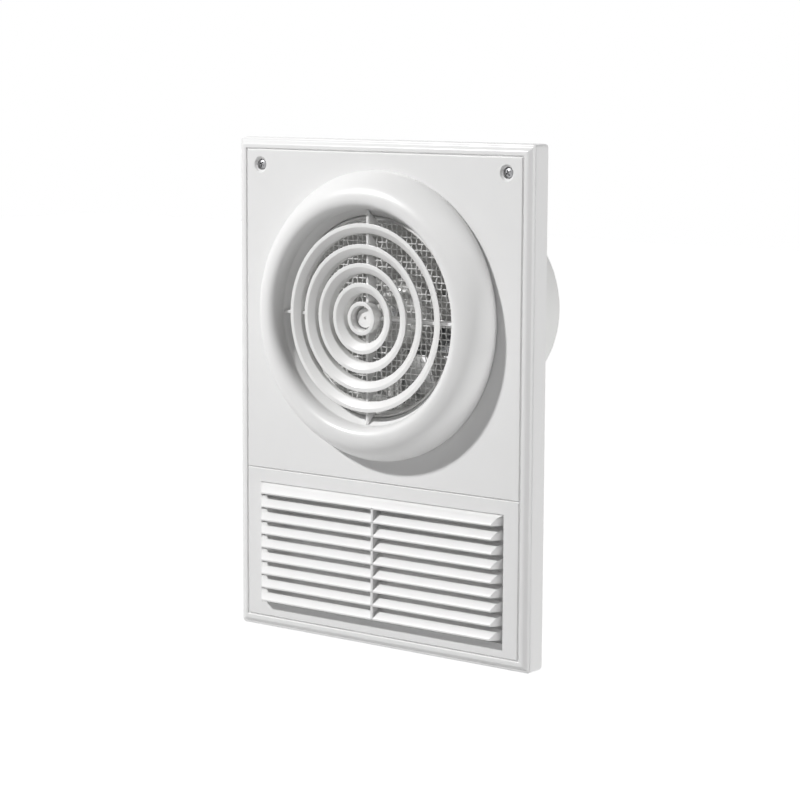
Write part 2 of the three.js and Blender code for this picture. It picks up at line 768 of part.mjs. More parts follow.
const frontBearingPlace = motorFront - noseLength + motorEndWall + fitGap;
const rearBearingPlace = bracketBack - fitGap - motorEndWall - fitGap - bearingLength;

function bearing(front) {
  const bore = shaftRadius + runGap;
  return turned([
    [bore, front], [bearingRadius, front],
    [bearingRadius, front + bearingLength], [bore, front + bearingLength],
  ], motorSteps);
}

const shaftFront = -nutThickness - 1.2;

function motorShaft() {
  const back = rearBearingPlace + bearingLength - fitGap;
  return rod(shaftRadius, shaftFront, back, 0, 0, motorSteps);
}

// ---------------------------------------------------------------- impeller

/** One blade: rings of points across its chord, from inside the hub to the tip. */
function blade() {
  const stations = 4;
  const chordSteps = 3;
  const rings = [];
  for (let i = 0; i <= stations; i++) {
    const share = i / stations;
    const radius = THREE.MathUtils.lerp(hubRadius - hubWall / 2, tipRadius, share);
    const chord = THREE.MathUtils.lerp(bladeRootChord, bladeTipChord, share);
    const pitch = THREE.MathUtils.degToRad(
      THREE.MathUtils.lerp(bladeRootPitch, bladeTipPitch, share));
    const ring = [];
    for (const side of [1, -1]) {
      for (let k = 0; k <= chordSteps; k++) {
        const along = side > 0 ? k / chordSteps - 0.5 : 0.5 - k / chordSteps;
        const bow = bladeCamber * (1 - 4 * along * along) + (side * bladeThickness) / 2;
        const y = hubLength / 2 + 0.8 + along * chord * Math.sin(pitch) + bow * Math.cos(pitch);
        const sweep = along * chord * Math.cos(pitch) - bow * Math.sin(pitch);
        const angle = sweep / radius;
        ring.push([radius * Math.cos(angle), y, -radius * Math.sin(angle)]);
      }
    }
    rings.push(ring);
  }
  return loft(rings);
}

/** Quarter of an ellipse, from near the axis to the full radius. */
function noseCurve(radius, front, back) {
  return [1, 2, 3, 4].map((i) => {
    const angle = (i * Math.PI) / 8;
    return [radius * Math.sin(angle), back - (back - front) * Math.cos(angle)];
  });
}

function impeller() {
  const bore = shaftRadius + runGap;
  const inside = noseCurve(hubRadius - hubWall, hubWall, hubNose).slice(1).reverse();
  const hub = turned([
    [bore, 0], ...noseCurve(hubRadius, 0, hubNose), [hubRadius, hubLength],
    [hubRadius - hubWall, hubLength], ...inside,
    [hubBossRadius, inside[inside.length - 1][1]], [hubBossRadius, hubBossLength],
    [bore, hubBossLength],
  ], motorSteps);
  return join(hub, around(blade(), bladeCount));
}

function impellerNut() {
  const corner = nutFlats / Math.sqrt(3);
  const back = -fitGap;
  const hex = rod(corner, back - nutThickness, back, 0, 0, 6);
  return cut(hex, rod(shaftRadius + runGap, back - nutThickness - through, back + through, 0, 0, motorSteps));
}

// ---------------------------------------------------------------- wiring

const blockFront = plateFront - fitGap - blockHeight;
const poleScrewThickness = 1.5;
const wellFloor = blockFront + poleScrewThickness + 2 * fitGap;
const leadHeight = plateFront - fitGap - 2.4;

function entryHole(side, x0, x1) {
  const geometry = new THREE.CylinderGeometry(
    leadRadius + fitGap, leadRadius + fitGap, x1 - x0, tinySteps);
  return solid(geometry.rotateZ(Math.PI / 2).translate((x0 + x1) / 2, leadHeight, side));
}

function terminalBlock() {
  const outer = blockInner + blockWidth;
  const half = blockLength / 2;
  const block = box(blockInner, outer, blockFront, plateFront - fitGap, -half, half);
  const cuts = [-1, 1].flatMap((side) => {
    const z = (side * poleSpacing) / 2;
    return [
      rod(poleScrewRadius + fitGap, blockFront - through, wellFloor, blockInner + blockWidth / 2, z,
        tinySteps),
      entryHole(z, blockInner - through, outer + through),
    ];
  });
  return cut(block, ...cuts);
}

function terminalScrews() {
  const x = blockInner + blockWidth / 2;
  const top = wellFloor - fitGap - poleScrewThickness;
  return [-1, 1].map((side) => {
    const z = (side * poleSpacing) / 2;
    const head = rod(poleScrewRadius, top, wellFloor - fitGap, x, z, tinySteps);
    const slot = box(x - poleScrewRadius * 2, x + poleScrewRadius * 2, top - through, top + 0.6,
      z - 0.3, z + 0.3);
    return cut(head, slot);
  });
}

function terminalCover() {
  const inset = 2 * fitGap;
  const x0 = blockInner - inset;
  const x1 = blockInner + blockWidth + inset;
  const z = blockLength / 2 + inset;
  const ceiling = blockFront - fitGap;
  const foot = plateFront - fitGap;
  const shell = box(x0 - coverWall, x1 + coverWall, ceiling - coverWall, foot,
    -z - coverWall, z + coverWall);
  const hollow = box(x0, x1, ceiling, foot + through, -z, z);
  const doors = box(x0 - 2 * coverWall, x1 + 2 * coverWall,
    leadHeight - leadRadius - fitGap, foot + through, -poleSpacing, poleSpacing);
  return cut(shell, hollow, doors);
}

function cableClamp() {
  const back = plateFront - clampBarThickness - 2 * fitGap;
  const half = clampBarLength / 2;
  const bar = box(clampPlace - clampBarWidth / 2, clampPlace + clampBarWidth / 2,
    back - clampBarThickness, back, -half, half);
  const holes = [-1, 1].map((side) => rod(1.3, back - clampBarThickness - through, back + through,
    clampPlace, (side * clampScrewSpacing) / 2, tinySteps));
  return cut(bar, ...holes);
}

function cableClampScrews() {
  const under = plateFront - 2 * clampBarThickness - 3 * fitGap;
  return [-1, 1].map((side) => crossScrew(2.2, 1.4, 0.8, under - 1.4, plateFront - fitGap,
    clampPlace, (side * clampScrewSpacing) / 2));
}

function cableGrommet() {
  const seat = plateFront - fitGap;
  const front = seat - grommetFlangeThickness;
  const end = -fitGap;
  const ring = turned([
    [grommetBore, front], [grommetFlange, front], [grommetFlange, seat],
    [grommetNeck, seat], [grommetNeck, end], [grommetBore, end],
  ], smallSteps);
  return ring.translate([grommetPlace, 0, 0]);
}

/** One lead: from its terminal, over the flange, along the bore and in to the motor. */
function motorLead(side) {
  const z = (side * leadSpacing) / 2;
  const boreLine = boreRadius - leadRadius - 2 * fitGap;
  const start = (side * poleSpacing) / 2;
  const over = flangeFront - leadRadius - fitGap;
  const bend = leadBend;
  const route = new THREE.CatmullRomCurve3([
    new THREE.Vector3(blockInner + leadTail, leadHeight, start),
    new THREE.Vector3(blockInner - bend, leadHeight - leadRadius / 2, start),
    new THREE.Vector3(flangeRadius + leadRadius, over, z * 1.6),
    new THREE.Vector3(flangeRadius - flangeWidth / 2, over, z),
    new THREE.Vector3(boreLine + bend * 0.6, over, z),
    new THREE.Vector3(boreLine - bend * 0.1, over + bend * 0.3, z),
    new THREE.Vector3(boreLine - bend * 0.15, over + bend, z),
    new THREE.Vector3(boreLine, leadTurn / 3, z),
    new THREE.Vector3(boreLine, (leadTurn * 2) / 3, z),
    new THREE.Vector3(boreLine, leadTurn - bend, z),
    new THREE.Vector3(boreLine - bend * 0.3, leadTurn - bend * 0.3, z),
    new THREE.Vector3(boreLine - bend, leadTurn, z),
    new THREE.Vector3((boreLine + motorRadius) / 2, leadTurn, z),
    new THREE.Vector3(motorRadius - motorWall, leadTurn, z),
  ], false, 'centripetal');
  const section = new THREE.Shape();
  section.absarc(0, 0, leadRadius, 0, 2 * Math.PI);
  return solid(new THREE.ExtrudeGeometry(section, {
    steps: 24, curveSegments: 4, bevelEnabled: false, extrudePath: route,
  }));
}

// ---------------------------------------------------------------- assembly

add('front_panel', frontPanel(), whitePlastic, 0.42);
add('vent_louvre', ventLouvre(), whitePlastic, 0.38);
add('front_collar', frontCollar(), whitePlastic, 0.3);
add('inlet_grille', inletGrille(), whitePlastic, 0.35);
addEach('panel_screw', panelScrews(), steel, 0.35, 0.9);
add('insect_mesh', insectMesh(), steel, 0.4, 0.6);
add('mesh_clamp_ring', meshClampRing(), whitePlastic, 0.5);
add('fan_casing', fanCasing(), whitePlastic, 0.5);
addEach('casing_screw', casingScrews(), steel, 0.35, 0.9);
add('base_plate', basePlate(), whitePlastic, 0.5);
add('motor_bracket', motorBracket(), whitePlastic, 0.5);
add('motor_housing', motorHousing(), steel, 0.4, 0.8);
add('motor_end_cap', motorEndCap(), steel, 0.4, 0.8);
addEach('motor_screw', motorScrews(), steel, 0.35, 0.9);
add('stator_core', statorCore(), greyPlastic, 0.5, 0.7);
add('stator_windings', statorWindings(), copper, 0.45, 0.5);
add('rotor_core', rotorCore(), steel, 0.45, 0.7);
add('motor_shaft', motorShaft(), steel, 0.25, 0.9);
add('front_bearing', bearing(frontBearingPlace), brass, 0.4, 0.8);
add('rear_bearing', bearing(rearBearingPlace), brass, 0.4, 0.8);
add('impeller', impeller(), greyPlastic, 0.4);
add('impeller_nut', impellerNut(), brass, 0.35, 0.8);

const wiring = new THREE.Group();
wiring.rotation.y = wiringAngle;
group.add(wiring);
add('terminal_block', terminalBlock(), darkPlastic, 0.5, 0, wiring);
addEach('terminal_screw', terminalScrews(), brass, 0.35, 0.8, wiring);
add('terminal_cover', terminalCover(), whitePlastic, 0.5, 0, wiring);
add('cable_clamp', cableClamp(), whitePlastic, 0.5, 0, wiring);
addEach('cable_clamp_screw', cableClampScrews(), steel, 0.35, 0.9, wiring);
add('cable_grommet', cableGrommet(), darkPlastic, 0.8, 0, wiring);
addEach('motor_lead', [motorLead(-1), motorLead(1)], darkPlastic, 0.6, 0, wiring);

export default group;
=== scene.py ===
# %% [markdown]
# # A wall-mounted duct fan, finished in Blender
#
# The fan hangs on a wall: a flat white panel with a round, bulging collar round the fan, a grille
# of five rings, a fine insect mesh behind it, and a passive vent with nine small hoods below. A
# round spigot behind the panel goes into the duct. The engineering model gives every piece its
# place, and this notebook gives the pieces their rounded edges, their fine detail and their
# finishes. The frame is shared: metres, +Z up, the front faces -Y, and the origin is on the fan's
# axis, at the wall.

# %% Load the engineering model
import math

import bmesh
import bpy
import numpy as np
from mathutils import Matrix, Vector


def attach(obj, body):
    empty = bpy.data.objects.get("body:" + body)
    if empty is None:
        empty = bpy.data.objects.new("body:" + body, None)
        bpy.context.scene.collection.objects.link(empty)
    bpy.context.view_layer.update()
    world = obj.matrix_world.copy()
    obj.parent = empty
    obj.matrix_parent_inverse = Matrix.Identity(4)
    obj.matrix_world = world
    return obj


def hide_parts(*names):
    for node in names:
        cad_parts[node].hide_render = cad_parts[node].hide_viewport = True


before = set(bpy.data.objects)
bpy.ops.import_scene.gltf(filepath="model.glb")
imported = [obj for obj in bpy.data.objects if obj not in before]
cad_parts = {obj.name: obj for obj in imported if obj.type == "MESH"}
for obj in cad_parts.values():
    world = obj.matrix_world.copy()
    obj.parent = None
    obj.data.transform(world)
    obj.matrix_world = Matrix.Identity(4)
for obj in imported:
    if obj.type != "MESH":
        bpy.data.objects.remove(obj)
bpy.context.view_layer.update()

# %% [markdown]
# ## The camera
#
# The photograph was taken from the right of the panel and a little above it, with a long lens. The
# camera was worked out from the panel's edges and the rings, so it is written here as the angle it
# looks from, its distance, its small slide to the side and its lens.

# %% Set up the camera
azimuth, elevation, roll = np.radians([37.29, 7.78, 0.27])
looked_at = np.array([0.0, -0.012, -0.0398])      # middle of the panel's front face
distance, slide_right, slide_up = 1.1740, 0.01068, -0.00117
back = np.array([np.sin(azimuth) * np.cos(elevation),
                 -np.cos(azimuth) * np.cos(elevation), np.sin(elevation)])
level_right = np.array([np.cos(azimuth), np.sin(azimuth), 0.0])
level_up = np.cross(back, level_right)
right = np.cos(roll) * level_right + np.sin(roll) * level_up
up = -np.sin(roll) * level_right + np.cos(roll) * level_up
place = looked_at + back * distance + level_right * slide_right + level_up * slide_up

camera = bpy.data.objects.new("camera", bpy.data.cameras.new("camera"))
camera.data.lens = 108.1
camera.data.sensor_width = 36
camera.data.clip_start, camera.data.clip_end = 0.05, 40
camera.matrix_world = Matrix([[*row, p] for row, p in zip(np.stack([right, up, back], 1), place)]
                             + [[0, 0, 0, 1]])
bpy.context.scene.collection.objects.link(camera)
bpy.context.scene.camera = camera
print("camera at", np.round(place, 4))

# %% [markdown]
# ## Shapes as arrays
#
# A moulded piece is mostly turned round an axis, carried round a rectangle, or pressed straight out
# of an outline. Each helper below works out a whole grid of points at once, in millimetres, and
# returns the points with the faces that join neighbours in the grid. A sharp corner hardly exists
# in moulded plastic, so most outlines get their corners rounded before they are carried anywhere.

# %% Grids, caps and rounded outlines
def grid_faces(rows, columns, wrap_rows, wrap_columns):
    """Quads between each point of a grid and its next neighbours. A side that wraps joins its end
    to its start."""
    row, column = np.meshgrid(np.arange(rows - (not wrap_rows)),
                              np.arange(columns - (not wrap_columns)), indexing="ij")
    row, column = row.ravel(), column.ravel()
    below, beside = (row + 1) % rows, (column + 1) % columns
    return np.stack([row * columns + column, row * columns + beside,
                     below * columns + beside, below * columns + column], 1).tolist()


def rounded(corners, radii, steps=6):
    """Closed outline with its corners rounded. Each corner c becomes the curve
    (1-t)^2 a + 2t(1-t) c + t^2 b, where a and b lie one radius away from c on its two sides."""
    corner = np.asarray(corners, float)
    reach = np.broadcast_to(np.asarray(radii, float), len(corner))[:, None]
    before, after = np.roll(corner, 1, 0) - corner, np.roll(corner, -1, 0) - corner
    a = corner + before / np.linalg.norm(before, axis=1, keepdims=True) * reach
    b = corner + after / np.linalg.norm(after, axis=1, keepdims=True) * reach
    t = np.linspace(0, 1, steps)[None, :, None]
    curve = (1 - t) ** 2 * a[:, None] + 2 * t * (1 - t) * corner[:, None] + t ** 2 * b[:, None]
    return curve.reshape(-1, corner.shape[1])


def bezier(a, b, c, d, steps):
    """Cubic curve (1-t)^3 a + 3t(1-t)^2 b + 3t^2(1-t) c + t^3 d."""
    t = np.linspace(0, 1, steps)[:, None]
    a, b, c, d = (np.asarray(p, float) for p in (a, b, c, d))
    return (1 - t) ** 3 * a + 3 * t * (1 - t) ** 2 * b + 3 * t ** 2 * (1 - t) * c + t ** 3 * d


def lofted(rings):
    """Closed body through a stack of rings with equal counts, with a flat cap on both ends."""
    stack = np.asarray(rings, float)
    rows, columns = stack.shape[:2]
    caps = [list(range(columns)), list(range((rows - 1) * columns, rows * columns))]
    return stack.reshape(-1, 3), grid_faces(rows, columns, False, True) + caps


def turned(profile, steps=192, at=(0, 0)):
    """Closed profile of (radius, y) turned round Y: x = r sin(angle), z = r cos(angle)."""
    outline = np.asarray(profile, float)
    angle = np.linspace(0, 2 * np.pi, steps, endpoint=False)[:, None]
    radius, y = outline[:, 0][None], outline[:, 1][None]
    points = np.stack([at[0] + radius * np.sin(angle), y + 0 * angle,
                       at[1] + radius * np.cos(angle)], 2)
    return points.reshape(-1, 3), grid_faces(steps, len(outline), True, True)


def pressed(outline, low, high):
    """Outline of (x, y) points pressed along Z from low to high."""
    flat = np.asarray(outline, float)
    level = np.ones((len(flat), 1))
    return lofted([np.hstack([flat, level * low]), np.hstack([flat, level * high])])


def block(x0, x1, y0, y1, z0, z1):
    """Box between two corners."""
    return pressed([[x0, y0], [x1, y0], [x1, y1], [x0, y1]], z0, z1)


def swung(shape, degrees):
    """A shape turned round Y: x' = x cos + z sin, z' = z cos - x sin."""
    points, faces = shape
    c, s = np.cos(np.radians(degrees)), np.sin(np.radians(degrees))
    return points @ np.array([[c, 0, -s], [0, 1, 0], [s, 0, c]]), faces


def moved(shape, by):
    """A shape slid by (x, y, z)."""
    return shape[0] + np.asarray(by, float), shape[1]


def on_circle(radius, degrees):
    """Points (x, z) on a circle round the axis: x = r cos(angle), z = -r sin(angle)."""
    angle = np.radians(degrees)
    return list(zip(radius * np.cos(angle), -radius * np.sin(angle)))


square = rounded([[0, 0], [1, 0], [1, 1], [0, 1]], 0.2)
print("helpers ready; a rounded square has", len(square), "points")

# %% [markdown]
# ## From arrays to pieces
#
# One object may hold several closed bodies that reach into each other, like ribs fused to a ring.
# Doubles are merged and the faces turned outwards. Faces that meet at a small angle shade as one
# smooth surface, while steeper edges stay crisp. A hole is cut with a solid tool, which is thrown
# away afterwards.

# %% Make, carve and soften pieces
mm = 0.001      # one millimetre in metres


def sharpen(mesh, degrees):
    """Smooth shading, with edges steeper than the angle kept crisp."""
    mesh.shade_smooth()
    mesh.set_sharp_from_angle(angle=math.radians(degrees))


def body_of_shapes(name, shapes, degrees):
    """Mesh in metres from several shapes in millimetres."""
    starts = np.cumsum([0] + [len(points) for points, _ in shapes])
    points = np.concatenate([points for points, _ in shapes]) * mm
    faces = [[int(start) + i for i in face]
             for start, (_, part) in zip(starts, shapes) for face in part]
    mesh = bpy.data.meshes.new(name)
    mesh.from_pydata(points.tolist(), [], faces)
    work = bmesh.new()
    work.from_mesh(mesh)
    bmesh.ops.remove_doubles(work, verts=work.verts, dist=2e-6)
    bmesh.ops.dissolve_degenerate(work, edges=work.edges, dist=1e-6)
    bmesh.ops.recalc_face_normals(work, faces=work.faces)
    work.to_mesh(mesh)
    work.free()
    sharpen(mesh, degrees)
    return mesh


def piece(name, shapes, finish, nodes, body="fan_frame", degrees=35):
    """Object made of the shapes, which rides on a body and stands for engineering nodes."""
    made = bpy.data.objects.new(name, body_of_shapes(name, shapes, degrees))
    bpy.context.scene.collection.objects.link(made)
    made.data.materials.append(finish)
    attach(made, body)
    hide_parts(*nodes)
    print(name, len(made.data.polygons), "faces")
    return made


def carve(made, shapes, degrees=35):
    """Cuts the shapes out of a piece, one boolean at a time."""
    for number, shape in enumerate(shapes):
        tool = bpy.data.objects.new("tool", body_of_shapes("tool", [shape], 30))
        bpy.context.scene.collection.objects.link(tool)
        cut = made.modifiers.new(f"cut {number}", "BOOLEAN")
        cut.operation, cut.solver, cut.object = "DIFFERENCE", "EXACT", tool
        seen = made.evaluated_get(bpy.context.evaluated_depsgraph_get())
        result = bpy.data.meshes.new_from_object(seen)
        made.modifiers.clear()
        made.data = result
        bpy.data.objects.remove(tool)
    sharpen(made.data, degrees)


def soften(made, width):
    """Rounds the edges that are steeper than 50 degrees; width in millimetres."""
    edge = made.modifiers.new("soft edges", "BEVEL")
    edge.width, edge.segments = width * mm, 3
    edge.limit_method, edge.angle_limit = "ANGLE", math.radians(50)
    edge.harden_normals = False


# %% [markdown]
# ## Finishes
#
# New white plastic is plain, but never perfectly even: its colour drifts a little, its gloss shows
# the polish of the mould, and its surface ripples by a few microns. All patterns read Object
# coordinates in metres, so they sit still on each piece. Metals get a grain of their own: spangled
# zinc, stacked sheet, wound wire.

# %% Wire up a finish
def noise_at(nodes, links, where, scale, detail=3.0):
    """Noise texture in Object coordinates, in cells a metre."""
    grain = nodes.new("ShaderNodeTexNoise")
    grain.inputs["Scale"].default_value = scale
    grain.inputs["Detail"].default_value = detail
    links.new(where, grain.inputs["Vector"])
    return grain.outputs["Fac"]


def spread(nodes, links, value, low, high):
    """Maps a pattern's middle range, 0.3 to 0.7, to a range of values."""
    reach = nodes.new("ShaderNodeMapRange")
    reach.inputs["From Min"].default_value, reach.inputs["From Max"].default_value = 0.3, 0.7
    reach.inputs["To Min"].default_value, reach.inputs["To Max"].default_value = low, high
    links.new(value, reach.inputs["Value"])
    return reach.outputs["Result"]


def finish_of(name, colour, drift, rough, metal=0.0, ripple=0.004, ripple_scale=900.0,
              pattern=None, coat=0.0, glow_depth=0.0):
    """Principled surface. Colour = colour times (1 - drift * noise); roughness runs over a range
    with a second noise; the bump is a third, finer noise. A pattern takes the place of the first
    and the third. A thin wall of white plastic lets light through: glow_depth is how deep it goes,
    in millimetres, as ripple is how high the bump is."""
    made = bpy.data.materials.new(name)
    made.use_nodes = True
    nodes, links = made.node_tree.nodes, made.node_tree.links
    shader = nodes["Principled BSDF"]
    where = nodes.new("ShaderNodeTexCoord").outputs["Object"]
    shade = nodes.new("ShaderNodeMix")
    shade.data_type = "RGBA"
    shade.inputs["A"].default_value = (*colour, 1)
    shade.inputs["B"].default_value = (*(c * (1 - drift) for c in colour), 1)
    field = pattern(nodes, links, where) if pattern else noise_at(nodes, links, where, 55.0)
    links.new(spread(nodes, links, field, 0.0, 1.0), shade.inputs["Factor"])
    links.new(shade.outputs["Result"], shader.inputs["Base Color"])
    polish = noise_at(nodes, links, where, 130.0, 5.0)
    links.new(spread(nodes, links, polish, *rough), shader.inputs["Roughness"])
    bump = nodes.new("ShaderNodeBump")
    bump.inputs["Strength"].default_value = 0.35
    bump.inputs["Distance"].default_value = ripple * mm
    height = field if pattern else noise_at(nodes, links, where, ripple_scale, 4.0)
    links.new(height, bump.inputs["Height"])
    links.new(bump.outputs["Normal"], shader.inputs["Normal"])
    shader.inputs["Metallic"].default_value = metal
    shader.inputs["Coat Weight"].default_value = coat
    shader.inputs["Coat Roughness"].default_value = 0.12
    shader.inputs["Subsurface Weight"].default_value = 0.9 if glow_depth else 0.0
    shader.inputs["Subsurface Radius"].default_value = (1.0, 1.0, 1.0)
    shader.inputs["Subsurface Scale"].default_value = glow_depth * mm
    return made


def spangle(nodes, links, where):
    """Zinc crystals: Voronoi cells about 1.5 mm across, each with its own tone."""
    cells = nodes.new("ShaderNodeTexVoronoi")
    cells.inputs["Scale"].default_value = 650.0
    links.new(where, cells.inputs["Vector"])
    tone = nodes.new("ShaderNodeSeparateColor")
    links.new(cells.outputs["Color"], tone.inputs["Color"])
    return tone.outputs["Red"]


def bands(spacing, axis):
    """Pattern of fine parallel bands along an axis, spacing in metres."""
    def pattern(nodes, links, where):
        wave = nodes.new("ShaderNodeTexWave")
        wave.bands_direction = axis
        wave.inputs["Scale"].default_value = 2 * math.pi / spacing / 20
        wave.inputs["Distortion"].default_value = 0.4
        links.new(where, wave.inputs["Vector"])
        return wave.outputs["Fac"]
    return pattern


print("a finish can have one of the patterns:", spangle.__name__, bands.__name__)

# %% Define the finishes
panel_white = finish_of("panel white", (0.840, 0.838, 0.835), 0.012, (0.30, 0.38), coat=0.1)
hood_white = finish_of("hood white", (0.815, 0.813, 0.809), 0.012, (0.30, 0.38), coat=0.1)
collar_white = finish_of("collar white", (0.845, 0.843, 0.838), 0.012, (0.30, 0.38), coat=0.12,
                         ripple=0.003, ripple_scale=500.0)
grille_white = finish_of("grille white", (0.86, 0.857, 0.848), 0.012, (0.28, 0.36), coat=0.1,
                         ripple=0.003, ripple_scale=500.0)
fin_white = finish_of("fin white", (0.86, 0.857, 0.85), 0.012, (0.28, 0.36), coat=0.1,
                      glow_depth=3.0)
inner_white = finish_of("inner white", (0.850, 0.850, 0.840), 0.05, (0.42, 0.58), ripple=0.012)
impeller_grey = finish_of("impeller grey", (0.72, 0.715, 0.70), 0.06, (0.36, 0.46), coat=0.1)
mesh_wire = finish_of("mesh wire", (0.86, 0.86, 0.85), 0.08, (0.28, 0.45), metal=0.25, ripple=0.002)
zinc_sheet = finish_of("zinc sheet", (0.62, 0.63, 0.65), 0.22, (0.25, 0.45), metal=1.0,
                       ripple=0.003, pattern=spangle)
screw_zinc = finish_of("screw zinc", (0.66, 0.66, 0.67), 0.15, (0.22, 0.4), metal=1.0, ripple=0.004)
# Rougher than the screw zinc, and darker in colour: the darkness is painted shade for screw heads
# deep in their dishes.
dull_zinc_painted_shade = finish_of("dull zinc painted shade", (0.40, 0.40, 0.41), 0.25, (0.42, 0.55), metal=1.0, ripple=0.004)
core_sheet = finish_of("core sheet", (0.30, 0.31, 0.33), 0.5, (0.35, 0.5), metal=0.9, ripple=0.03,
                       pattern=bands(0.0005, "Y"))
ground_steel = finish_of("ground steel", (0.70, 0.71, 0.72), 0.08, (0.12, 0.22), metal=1.0,
                         ripple=0.002, pattern=bands(0.0003, "Y"))
bronze = finish_of("bronze", (0.62, 0.42, 0.20), 0.25, (0.3, 0.5), metal=0.95, ripple=0.008)
copper_wire = finish_of("copper wire", (0.60, 0.24, 0.09), 0.45, (0.2, 0.35), metal=0.6,
                        ripple=0.05, pattern=bands(0.0006, "Y"))
terminal_black = finish_of("terminal black", (0.035, 0.036, 0.04), 0.3, (0.4, 0.6), ripple=0.01)
grommet_rubber = finish_of("grommet rubber", (0.025, 0.025, 0.026), 0.3, (0.65, 0.85), ripple=0.02)
lead_cover = finish_of("lead cover", (0.05, 0.08, 0.20), 0.2, (0.35, 0.5), ripple=0.006)
print("finishes:", len([m for m in bpy.data.materials if m.use_nodes]))

# %% [markdown]
# ## The front panel
#
# The panel is one shallow moulded tray. Its border slopes down to a narrow ledge with rounded
# shoulders, and a fine V-groove runs round the flat face, with one more across it between the fan
# and the vent. The border is a profile carried round a rectangle, and the openings are cut
# afterwards.

# %% Sizes of the panel, in millimetres
half_width, top, bottom = 90.0, 85.2, -164.8
front, wall = -12.0, 2.0
gap = 0.3


def rectangle(inset, y, corner):
    """Ring round the panel, moved in by an inset. Each corner is a quarter circle: its centre plus
    the corner radius times (cos, sin)."""
    quarter = np.linspace(0, np.pi / 2, 5)
    angle = (np.arange(4)[:, None] * np.pi / 2 + quarter).ravel()
    x = half_width - inset - corner
    high, low = top - inset - corner, bottom + inset + corner
    middle_x = np.repeat([x, -x, -x, x], len(quarter))
    middle_z = np.repeat([high, high, low, low], len(quarter))
    return np.stack([middle_x + corner * np.cos(angle), np.full(len(angle), float(y)),
                     middle_z + corner * np.sin(angle)], 1)


print("panel:", 2 * half_width, "by", top - bottom, "mm")

# %% Work out the border and the cuts
ledge_depth, groove_half, groove_depth = 2.0, 0.55, 0.9
border = rounded([[0, 0], [0, front + ledge_depth], [1.6, front + 1.9], [3.2, front], [5.2, front],
                  [5.75, front + groove_depth], [6.3, front], [7.5, front]],
                 [0, 1.0, 0.5, 0.7, 0.16, 0.10, 0.16, 0], steps=6)
border_rings = [rectangle(inset, y, max(1.9 - inset, 0.35)) for inset, y in border]
hollow = lofted([rectangle(inset, y, 0.5) for inset, y in
                 [(wall, 1), (wall, front + ledge_depth + wall), (2.65 + wall, front + wall)]])
divider_z, divider_end = -82.3, 84.25
divider = lofted([[[x, front - 1, divider_z - 0.95], [x, front, divider_z - groove_half],
                   [x, front + groove_depth, divider_z], [x, front, divider_z + groove_half],
                   [x, front - 1, divider_z + 0.95]] for x in (-divider_end, divider_end)])
half_vent, vent_top, vent_bottom = 75.0, -89.7, -151.54
window = block(-half_vent - gap, half_vent + gap, front - 1, 1, vent_bottom - gap, vent_top + gap)
mouth_hole = 51.2
mouth = turned([[0.01, front - 1], [mouth_hole, front - 1], [mouth_hole, 1], [0.01, 1]], 160)
print("border rings:", len(border_rings), "of", len(border_rings[0]), "points")

# %% Build the panel
screw_x, screw_z = 75.15, 71.7
screw_places = [(-screw_x, screw_z), (screw_x, screw_z)]
dish = np.vstack([[[0.01, front - 1], [4.6, front - 1]],
                  bezier([4.05, front - 0.02], [3.8, front + 0.1], [3.2, front + 0.9],
                         [2.9, front + 1.0], 8),
                  [[2.9, front + 2.8], [1.85, front + 2.8], [1.85, 1], [0.01, 1]]])
panel = piece("front_panel_shell", [lofted(border_rings)], panel_white, ["front_panel"], degrees=28)
carve(panel, [hollow, divider, mouth, window] + [turned(dish, 48, place) for place in screw_places],
      degrees=28)
print("panel faces after cutting:", len(panel.data.polygons))

# %% [markdown]
# The seats of the two screws are short bosses behind the face, turned like any ring and left as
# their own small piece.

# %% Build the screw seats
seat_profile = rounded([[1.85, -9.2], [2.9, -9.2], [2.9, -10.2], [4.9, -10.2], [4.9, -8.0],
                        [1.85, -8.0]], 0.1, 3)
piece("panel_screw_seats", [turned(seat_profile, 48, place) for place in screw_places], panel_white,
      ["front_panel"])

# %% [markdown]
# ## The collar
#
# The collar is a hollow ring with a fat, rounded lip that rolls into the round mouth. It is one
# profile turned round the axis: the outside rises to the crest, the mouth falls back steeply to
# a short cone, and the sleeve behind the cone sits in the panel's hole. The lip is a little rounder
# here than in the engineering model, and its crest lies 0.5 mm further out.

# %% Turn the collar
crest_y, rim_y, neck_y, funnel_y = front - 16, front - gap, front - 9, front - 5.2
outer_radius, crest_radius, neck_radius, sleeve_radius = 70.8, 58.0, 52.6, 49.3
outside = bezier([outer_radius, front - 3], [outer_radius - 3, crest_y + 6],
                 [crest_radius + 6, crest_y], [crest_radius, crest_y], 28)
mouth_side = bezier([crest_radius, crest_y], [crest_radius - 3.8, crest_y],
                    [neck_radius, neck_y - 3.2], [neck_radius, neck_y], 22)[1:-3]
inside = bezier([neck_radius + 2, neck_y], [neck_radius + 2, crest_y + 3],
                [outer_radius - 6, crest_y + 3], [outer_radius - 2, front - 3], 16)
sleeve_end = -9.9
funnel = rounded([mouth_side[-1], [neck_radius, neck_y], [sleeve_radius, funnel_y],
                  [sleeve_radius, sleeve_end], [50.9, sleeve_end], [50.9, rim_y]],
                 [0, 0.55, 0.7, 0.15, 0.15, 0.1], 6)[6:-5]
collar_profile = np.vstack([
    [[outer_radius - 0.3, rim_y], [outer_radius, rim_y - 0.3]], outside, mouth_side, funnel,
    inside, [[outer_radius - 2, rim_y]]])
piece("front_collar_ring", [turned(collar_profile, 240)], collar_white, ["front_collar"])

# %% [markdown]
# ## The grille
#
# Five rings stand one inside the other. Behind its flat rim each ring slopes inwards like a dish
# and ends in a short tube, so that little but the far side's white slope shows through the next
# ring. Thin fins in four directions join the rings: each runs from the tube of one ring out to the
# tube of the next, and its outer edge slants inwards on its way to the back. The outermost fins
# follow the collar's cone there. The fins are 1.7 mm thick, so their plastic lets a little light
# through and they get a finish of their own.

